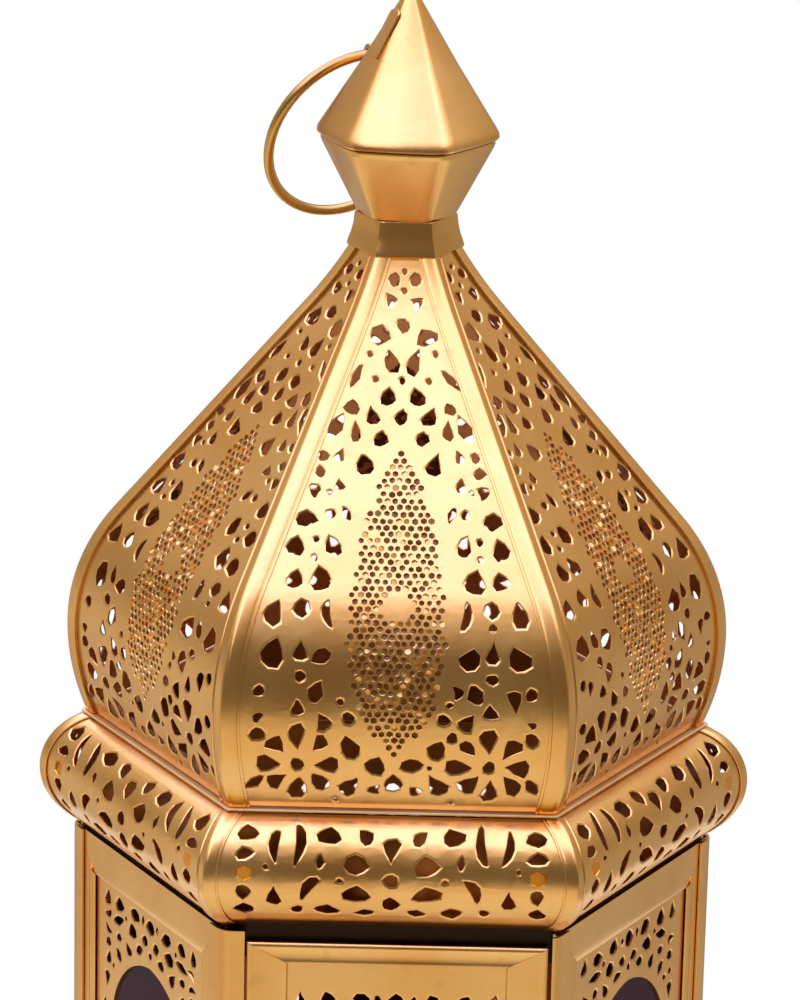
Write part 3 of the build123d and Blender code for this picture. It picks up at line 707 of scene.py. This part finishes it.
spandrelPunches = [  # right half round the arch: kind, u, height over the window's top, width, height, turn
    ("gem", 0, 13, 5.4, 4.6), ("gem", 10, 13, 5.8, 4.6, 10), ("gem", 19.6, 13.2, 5, 4.6, -15),
    ("drop", 27.4, 13, 3.6, 5), ("leaf", 4.9, 13.6, 2, 3), ("gem", 3.5, 7.2, 3.9, 3.2, 20),
    ("gem", 11.8, 7.2, 5.7, 4.4, -20), ("leaf", 20.2, 7.4, 2.8, 7, 80), ("bean", 26.6, 7.8, 2.4, 4, 70),
    ("dot", 0, 3.8, 2), ("dot", 15.9, 10.2, 1.8), ("gem", 7, 3.2, 4.4, 2.8, -15),
    ("drop", 14.2, 1.2, 3.4, 4.6, -30), ("dot", 20.4, 2.6, 2.8), ("bean", 26.6, 3.2, 2.4, 4, 110),
    ("dot", 26.5, -1, 3.2), ("leaf", 20.4, -3.4, 2.4, 4.6, -40), ("drop", 26.9, -6.2, 3, 4.8),
    ("dot", 23.3, -7.6, 1.8), ("drop", 27.4, -12.6, 2.8, 4.4, 180), ("dot", 29.4, -9.4, 1.4),
]
columnLook = dict(count=9, top=192.5, step=12.6, u=28.9, drop=(3.4, 5.8), dot=2.1)
sillLook = dict(reach=4, pitch=4.5, dropZ=61.0, drop=(4.2, 6.0), dotZ=55.4, dot=2.1)


def wallPunches(shift, half, rise, share, column, sill):
    punches = []
    top = wallLook["spring"] + wallLook["arc"]
    for side in (1, -1):
        for kind, u, z, width, height, turn in scaled(spandrelPunches, share):
            if u or side > 0:
                punches.append((kind, shift + side * u, top + z + rise, width, height, side * turn))
        for k in range(column["count"]):  # columns beside the window
            u, z = shift + side * column["u"], column["top"] - column["step"] * k
            punches.append(("drop", u, z, *column["drop"], 180 * (k % 2)))
            punches.append(("dot", u, z - column["step"] / 2, column["dot"], column["dot"], 0))
    for k in range(-sill["reach"], sill["reach"] + 1):  # rows under the sill
        punches.append(("drop", shift + k * half / sill["pitch"], sill["dropZ"], *sill["drop"], 180))
        punches.append(("dot", shift + (k + 0.5) * half / sill["pitch"], sill["dotZ"], sill["dot"], sill["dot"], 0))
    return punches


def wallSheet(node, shift, rows, share, seed):
    low, high = (corner * 1000 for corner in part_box(node))
    outline = [(low.x, low.z), (high.x, low.z), (high.x, high.z), (low.x, high.z)]
    punches = wallPunches(shift, rows["half"], rows["rise"], share, columnLook, sillLook)
    look = dict(wallLook, out=max(abs(low.y), abs(high.y)) - wallShape["apothem"])
    return piercedSheet(outline, punches, seed, wallSkin, look, loops=[windowLoop(shift)], gore=False)


sideRows = dict(half=29.0, rise=0.0, back=0.82, seed=120)
doorRows = dict(half=27.0, rise=-4.2, seed=131)
for flat in range(1, 6):
    share = sideRows["back"] if flat in hiddenFlats else 1.0
    sheet = wallSheet("side_panel_3", 0.0, sideRows, share, sideRows["seed"] + flat)
    addPiece(f"sidePanel{flat}", turned(sheet, flat), "pierced_brass", "lantern", f"side_panel_{flat}")
doorLow, doorHigh = (corner * 1000 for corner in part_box("door_panel"))
doorMiddle = (doorLow.x + doorHigh.x) / 2
sheet = wallSheet("door_panel", doorMiddle, doorRows, 1.0, doorRows["seed"])
addPiece("doorPanel", sheet, "pierced_brass", "door", "door_panel")
print("wall sheets pierced")

# Border strips, from the outer edge in: share of the width and depth under the front
frameLook = dict(width=12.2, front=82.65, thickness=0.55, gap=0.07,
                 upright=((0, -0.8), (0.74, -0.8), (0.8, -0.58), (0.85, -0.4), (0.9, -0.42), (0.95, -0.7),
                          (1, -1.22)),
                 level=((0, -0.8), (0.7, -0.8), (0.88, -0.92), (1, -1.25)))
doorLook = dict(stile=11.7, rail=6.2, front=82.75, thickness=0.4, gap=0.07,
                upright=((0, -0.6), (0.03, -0.2), (0.08, 0), (0.13, -0.06), (0.19, -0.32), (0.84, -0.36),
                         (0.92, -0.12), (0.97, -0.14), (1, -0.62)),
                level=((0, -0.6), (0.06, -0.2), (0.15, 0), (0.25, -0.06), (0.36, -0.32), (0.74, -0.36),
                       (0.86, -0.12), (0.95, -0.14), (1, -0.62)))
clipLook = dict(edge=28.6, inner=80.85, depth=2.2, sheet=0.8, thinner=0.1, reach=3.0, length=6.0, feet=(75.5, 188.4))


def boxCorners(left, low, right, high):
    return [Vector(point) for point in ((left, low), (right, low), (right, high), (left, high))]


def mitredStrips(outer, inner, look):
    bm = bmesh.new()
    outerCorners, innerCorners = boxCorners(*outer), boxCorners(*inner)
    for side in range(4):
        profile = look["upright"] if side % 2 else look["level"]
        ends = side, (side + 1) % 4
        grid = bmesh.ops.create_grid(bm, x_segments=len(profile) - 1, y_segments=1, size=0.5)["verts"]
        for vert in grid:
            share, depth = profile[round((vert.co.x + 0.5) * (len(profile) - 1))]
            first, last = (outerCorners[end].lerp(innerCorners[end], share) for end in ends)
            along = (last - first).normalized() * look["gap"]
            point = first + along if vert.co.y < 0 else last - along
            vert.co = (point.x, -look["front"] - depth, point.y)
    bm.normal_update()
    bmesh.ops.reverse_faces(bm, faces=[face for face in bm.faces if face.normal.y > 0])
    thickened(bm, look["thickness"])
    return bm


def bentClips(look, shift):
    pieces = []
    for foot in look["feet"]:
        for side in (1, -1):
            sunk = look["depth"] + look["sheet"] / 2  # the leg ends inside the lap
            leg = look["edge"] + look["sheet"] / 2, look["sheet"] - look["thinner"], sunk / 2, sunk
            lap = (look["edge"] + (look["sheet"] - look["reach"]) / 2, look["sheet"] + look["reach"], sunk,
                   look["sheet"])
            for u, wide, back, deep in (leg, lap):
                bm = bmesh.new()
                bmesh.ops.create_cube(bm, size=1)
                bmesh.ops.scale(bm, vec=(wide, deep, look["length"]), verts=bm.verts[:])
                bmesh.ops.translate(bm, vec=(shift + side * u, back - look["inner"], foot + look["length"] / 2),
                                    verts=bm.verts[:])
                pieces.append(bm)
    return pieces


def stripBoxes(node, wide, tall):
    low, high = (corner * 1000 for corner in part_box(node))
    return (low.x, low.z, high.x, high.z), (low.x + wide, low.z + tall, high.x - wide, high.z - tall)


for flat in range(1, 6):
    strips = mitredStrips(*stripBoxes("side_frame_3", frameLook["width"], frameLook["width"]), frameLook)
    addPiece(f"sideFrame{flat}", turned(strips, flat), "plain_brass", "lantern", f"side_frame_{flat}")
strips = mitredStrips(*stripBoxes("door_frame", doorLook["stile"], doorLook["rail"]), doorLook)
addPiece("doorFrame", joined([strips] + bentClips(clipLook, doorMiddle)), "plain_brass", "door", "door_frame")
print("border strips mitred")

ringLook = dict(radius=27.0, wire=1.5, steps=96, sides=14, eye=(-11.5064, 19.9296, 475.718), lean=20.948, corner=120)


def wireLoop(look, twist):  # round the z axis, twist turns the wire's own section
    bm = bmesh.new()
    bmesh.ops.create_circle(bm, cap_ends=False, segments=look["sides"], radius=look["wire"])
    spun(spun(bm, twist, "Z"), 90, "X")
    bmesh.ops.translate(bm, vec=(look["radius"], 0, 0), verts=bm.verts[:])
    bmesh.ops.spin(bm, geom=bm.verts[:] + bm.edges[:], cent=(0, 0, 0), axis=(0, 0, 1), dvec=(0, 0, 0),
                   angle=radians(360), steps=look["steps"], use_merge=True)
    bmesh.ops.remove_doubles(bm, verts=bm.verts[:], dist=1e-3)
    return bm


def wireRing(look):
    bm = wireLoop(look, 0)
    turn = radians(look["corner"])
    out = Vector((cos(turn), sin(turn), 0))
    lean = radians(look["lean"])
    down = out * sin(lean) - Vector((0, 0, cos(lean)))
    across = Vector((sin(turn), -cos(turn), 0))
    normal = across.cross(down)
    place = Matrix((across, down, normal)).transposed().to_4x4()
    place.translation = Vector(look["eye"]) + down * look["radius"]
    bmesh.ops.transform(bm, matrix=place, verts=bm.verts[:])
    return bm


addPiece("hangingRing", wireRing(ringLook), "wire_brass", "ring", "hanging_ring")
eyeLook = dict(radius=2.45, wire=0.72, steps=32, sides=10, shank=1.0, root=12.5)


def wireEye(look):  # a loop in the plane through the axis, on a shank from the finial
    bm = spun(wireLoop(look, 90), 90, "X")
    reach = hypot(ringLook["eye"][0], ringLook["eye"][1])
    length = reach - look["radius"] - look["root"]
    lying = Matrix.Translation((-look["radius"] - length / 2, 0, 0)) @ Matrix.Rotation(radians(90), 4, "Y")
    bmesh.ops.create_cone(bm, cap_ends=True, segments=look["sides"], radius1=look["shank"], radius2=look["shank"],
                          depth=length, matrix=lying)
    bmesh.ops.translate(bm, vec=(reach, 0, ringLook["eye"][2]), verts=bm.verts[:])
    return spun(bm, ringLook["corner"], "Z")


addPiece("hangingEye", wireEye(eyeLook), "wire_brass", "lantern", "hanging_eye")
print("ring and eye bent")

postLook = dict(leg=7.0, doorRight=1.7, doorLeft=6.9, taper=0.0, out=0.0, thickness=0.8, step=210, fold=3.0,
                foldShare=0.9, groove=())
for corner in range(6):
    legs = (postLook["doorRight"] if corner == 0 else postLook["leg"],
            postLook["doorLeft"] if corner == 5 else postLook["leg"])
    fold = min(postLook["fold"], postLook["foldShare"] * min(legs) * tan(radians(60)))
    post = cornerStrip(wallSkin, wallShape["low"], wallShape["high"], legs, dict(postLook, fold=fold))
    addPiece(f"cornerPost{corner + 1}", turned(post, corner), "plain_brass", "lantern", f"corner_post_{corner + 1}")
print("posts folded")

finialLook = dict(segments=72, corner=1.12, ease=0.02, bulge=0.03, askew=-7.0, girdleZ=456.72, girdle=23.7,
                  tipZ=500.0, tip=0.7,
                  upper=((456.72, 22.5), (456.85, 23.1), (457.4, 23.5), (458.3, 23.45), (459.4, 22.95), (460.4, 22.4),
                         (478, 12.4), (496, 2.8), (498.6, 1.5), (499.6, 0.8), (500, 0.3)),
                  lower=((434.42, 12.6), (434.8, 12.95), (436, 13.55), (446, 18.2), (454.4, 22.1), (455.6, 22.5),
                         (456.3, 22.4), (456.62, 21.9)),
                  tabWide=6.0, tabLong=15.0, tabDown=7.5, tabShift=0.8, tabStand=0.8, tabRound=1.9,
                  tabThick=0.7, tabEase=0.25)
collarLook = dict(segments=72, corner=1.135, ease=0.012, bulge=0.0,
                  rings=((424.6, 14.9), (426, 14.65), (428.5, 13.85), (431, 13.3), (433.9, 13.0), (434.3, 12.8)))


def faceted(rings, look):  # six soft-edged sides through rings of height and apothem
    bm = bmesh.new()
    edges = None
    for z, apothem in rings:
        if edges is None:
            ring = bmesh.ops.create_circle(bm, cap_ends=True, segments=look["segments"], radius=1)["verts"]
            edges = edgesOf(ring)
        else:
            grown = bmesh.ops.extrude_edge_only(bm, edges=edges)["geom"]
            ring = [part for part in grown if isinstance(part, bmesh.types.BMVert)]
            edges = [part for part in grown if isinstance(part, bmesh.types.BMEdge)]
        for vert in ring:
            angle = atan2(vert.co.y, vert.co.x)
            off = angle % radians(60) - radians(30)  # from the nearest flat's middle
            reach = 1 / cos(off)
            blend = max(0, min(1, 0.5 + (reach - look["corner"]) / (2 * look["ease"])))  # rounds the folded corner
            reach = reach + (look["corner"] - reach) * blend - look["ease"] * blend * (1 - blend)
            reach += look["bulge"] * cos(3 * off)
            vert.co = (apothem * reach * cos(angle), apothem * reach * sin(angle), z)
    bmesh.ops.contextual_create(bm, geom=edges)
    return bm


def lapTab(look):  # the lapped end of the upper sheet, on the front left face
    bm = bmesh.new()
    bmesh.ops.create_grid(bm, x_segments=1, y_segments=1, size=0.5)
    for vert in bm.verts:
        vert.co = (vert.co.x * look["tabWide"], (vert.co.y + 0.5) * look["tabLong"], 0)
    ends = [vert for vert in bm.verts if vert.co.y > look["tabLong"] / 2]
    eased(bm, ends, look["tabRound"], foldLook["segments"], affect="VERTICES")
    thickened(bm, look["tabThick"])
    eased(bm, cutEdges(bm), look["tabEase"], foldLook["cutSegments"])
    slope = atan2(look["girdle"] - look["tip"], look["tipZ"] - look["girdleZ"])
    slant = (look["tipZ"] - look["girdleZ"]) / cos(slope)
    top = slant - look["tabDown"] - look["tabLong"]
    foot = Vector((look["tabShift"], top * sin(slope) - look["girdle"], look["girdleZ"] + top * cos(slope)))
    face = Matrix.Rotation(radians(90) - slope, 4, "X")
    out = Vector((0, -cos(slope), sin(slope))) * look["tabStand"]
    bmesh.ops.transform(bm, matrix=Matrix.Translation(foot + out) @ face, verts=bm.verts[:])
    return turned(bm, 5)


askew = finialLook["askew"] / 60  # soldered on a little turned
upper = joined([faceted(finialLook["upper"], finialLook), lapTab(finialLook)])
addPiece("finialUpper", turned(upper, askew), "plain_brass", "lantern", "finial_upper")
lower = faceted(finialLook["lower"], finialLook)
addPiece("finialLower", turned(lower, askew), "plain_brass", "lantern", "finial_lower")
addPiece("neckCollar", faceted(collarLook["rings"], collarLook), "plain_brass", "lantern", "neck_collar")
print("finial closed")

# Edges of the CAD sheets are eased, not knife sharp
edgeLook = {"dome_ledge": 0.3, "flange": 0.25, "rail": 0.25, "drip_pan": 0.2, "candle_cup": 0.2, "hinge": 0.2,
            "latch": 0.2, "clips": 0.1, "liner": 0.2}
easeLook = dict(weld=0.01, segments=2, angle=25)
slots = {part["node"]: part["material_slot"] for part in frame["record"]["subparts"]}
# nodes given copies of brass with painted shade, and the ledge a painted highlight
paintedLightNodes = {"body_top_rail": "rail_shade_brass", "cornice_flange": "inner_shade_brass", "cornice_liner": "inner_shade_brass",
               "sill_rail": "inner_shade_brass", "base_flange": "inner_shade_brass", "floor_plate": "inner_shade_brass",
               "dome_ledge": "ledge_highlight_brass"}
for name, node in frame["nodes"].items():
    if node.hide_render:
        continue
    node.data.materials.clear()
    node.data.materials.append(materials[paintedLightNodes.get(name, slots[name])])
    for word, width in edgeLook.items():
        if word in name:
            weld = node.modifiers.new("weld", "WELD")
            weld.merge_threshold = easeLook["weld"] * millimetre
            ease = node.modifiers.new("ease", "BEVEL")
            ease.width = width * millimetre
            ease.segments = easeLook["segments"]
            ease.limit_method = "ANGLE"
            ease.angle_limit = radians(easeLook["angle"])
            break
print("sheets eased")


def studioObject(name, bm, material):
    mesh = meshOf(name, bm)
    mesh.materials.append(material)
    thing = bpy.data.objects.new(name, mesh)
    scene.collection.objects.link(thing)
    return thing


floorLook = dict(radius=0.46, segments=96, color=(0.82, 0.815, 0.805), rough=0.8, fade=(0.2, 0.42))


def paleFloor(look):
    bm = bmesh.new()
    bmesh.ops.create_circle(bm, cap_ends=True, segments=look["segments"], radius=look["radius"])
    material, tree = newMaterial("pale_floor")
    shader = tree.nodes["Principled BSDF"]
    feed(shader, {"Base Color": (*look["color"], 1), "Roughness": look["rough"]})
    place = start(tree)
    far = place.add("ShaderNodeVectorMath", {"operation": "LENGTH"}, {0: place}, 1)
    fade = far.between(*look["fade"])
    glow = place.add("ShaderNodeEmission", {}, {})  # the floor runs out into the white backdrop
    blend = place.add("ShaderNodeMixShader", {}, {0: fade, 1: Field(tree, shader.outputs[0]), 2: glow})
    feed(tree.nodes["Material Output"], {0: blend})
    return studioObject("floor", bm, material)


# Levels of light, then the spans over which one runs into the next, as shares of the radius
tentLook = dict(radius=4.0, subdivisions=5, sideLow=0.62, frontLow=0.95, side=0.42, sideHigh=0.56, top=2.5,
                front=0.17, lean=0.12, tilt=0.36, back=0.3, lowTint=(1.0, 0.95, 0.88), sideTint=(1.0, 0.9, 0.75),
                topTint=(0.86, 0.95, 1.8), horizon=(-0.12, 0.1), frontSpan=(0.4, 0.8), backSpan=(0.5, 0.68),
                highSpan=(0.2, 0.4), darkFront=(0.3, 0.62), darkFoot=(-0.3, -0.14), darkHead=(0.44, 0.64),
                slantSpan=(-0.32, -0.04), slantEnd=(0.35, 0.6), slantHead=(0.74, 0.84), brightSpan=(0.52, 0.74))


def lightTent(look):  # the studio that the polished brass mirrors
    bm = bmesh.new()
    bmesh.ops.create_icosphere(bm, subdivisions=look["subdivisions"], radius=look["radius"])
    material, tree = newMaterial("tent_cloth")
    x, y, z = [part * (1 / look["radius"]) for part in parts(start(tree))]
    near = -1 * y
    upper = z.between(*look["horizon"])
    low = look["sideLow"] - look["lean"] * x + (look["frontLow"] - look["sideLow"]) * near.between(*look["frontSpan"])
    low = low * (1 - look["back"] * y.between(*look["backSpan"]))
    high = look["side"] + (look["sideHigh"] - look["side"]) * z.between(*look["highSpan"])
    level = low + upper * (high - low)
    dark = near.between(*look["darkFront"]) * z.between(*look["darkFoot"]) * (1 - z.between(*look["darkHead"]))
    level = level + dark * (look["front"] - level)
    slant = (x.between(*look["slantSpan"]) - 0.5) * (1 - x.math("ABSOLUTE", x).between(*look["slantEnd"]))
    slant = slant * (1 - z.between(*look["slantHead"]))
    bright = (z - look["tilt"] * slant).between(*look["brightSpan"])
    level = level + bright * (look["top"] - level)
    tint = upper.mixed((*look["lowTint"], 1), (*look["sideTint"], 1))
    tint = (bright * bright).mixed(tint, (*look["topTint"], 1))
    shine = tint.add("ShaderNodeVectorMath", {"operation": "SCALE"}, {0: tint, 3: level})
    feed(tree.nodes["Material Output"], {0: shine.add("ShaderNodeEmission", {}, {"Color": shine})})
    tent = studioObject("tent", bm, material)
    tent.visible_camera = False
    tent.visible_diffuse = False
    tent.visible_transmission = False
    tent.visible_shadow = False
    return tent


lampLooks = {"keyLamp": dict(place=(-0.9, -1.1, 1.7), aim=(0, 0, 0.2), size=1.2, power=16, mirrored=False),
             "fillLamp": dict(place=(1.2, -0.6, 1.3), aim=(0, 0, 0.2), size=1.4, power=6, mirrored=False),
             "innerLamp": dict(place=(0, 0.001, 0.09), aim=(0, 0, 0.4), size=0.09, power=0.024, mirrored=True)}


def softLamp(name, look):  # the weak inner one stands for the daylight that the glass lets in
    lamp = bpy.data.lights.new(name, "AREA")
    lamp.size = look["size"]
    lamp.energy = look["power"]
    holder = bpy.data.objects.new(name, lamp)
    scene.collection.objects.link(holder)
    aim = Vector(look["aim"]) - Vector(look["place"])
    holder.matrix_world = Matrix.Translation(look["place"]) @ aim.to_track_quat("-Z", "Y").to_matrix().to_4x4()
    holder.visible_glossy = look["mirrored"]
    holder.visible_camera = False
    holder.visible_transmission = False
    return holder


worldLook = dict(diffuse=0.75)


def whiteWorld(look):
    world = bpy.data.worlds.new("studio")
    scene.world = world
    world.use_nodes = True
    tree = world.node_tree
    paths = Field(tree, None).add("ShaderNodeLightPath", {}, {}).socket.node
    seen = [Field(tree, paths.outputs[name]) for name in ("Is Camera Ray", "Is Glossy Ray", "Is Transmission Ray")]
    white = seen[0].math("MAXIMUM", seen[0].math("MAXIMUM", seen[0], seen[1]), seen[2])
    strength = look["diffuse"] + (1 - look["diffuse"]) * white
    feed(tree.nodes["Background"], {"Color": (1, 1, 1, 1), "Strength": strength})


whiteWorld(worldLook)
paleFloor(floorLook)
lightTent(tentLook)
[softLamp(name, look) for name, look in lampLooks.items()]
print("studio lit")

cameraLook = dict(place=(0.0001, -1.394, 0.781), tilt=72.73, roll=1.31, lens=180, sensor=36)
camera = bpy.data.cameras.new("camera")
camera.lens = cameraLook["lens"]
camera.sensor_width = cameraLook["sensor"]
cameraObject = bpy.data.objects.new("camera", camera)
tilt = Matrix.Rotation(radians(cameraLook["tilt"]), 4, "X")
roll = Matrix.Rotation(radians(cameraLook["roll"]), 4, "Z")
cameraObject.matrix_world = Matrix.Translation(cameraLook["place"]) @ tilt @ roll
scene.collection.objects.link(cameraObject)
scene.camera = cameraObject
print("camera set")
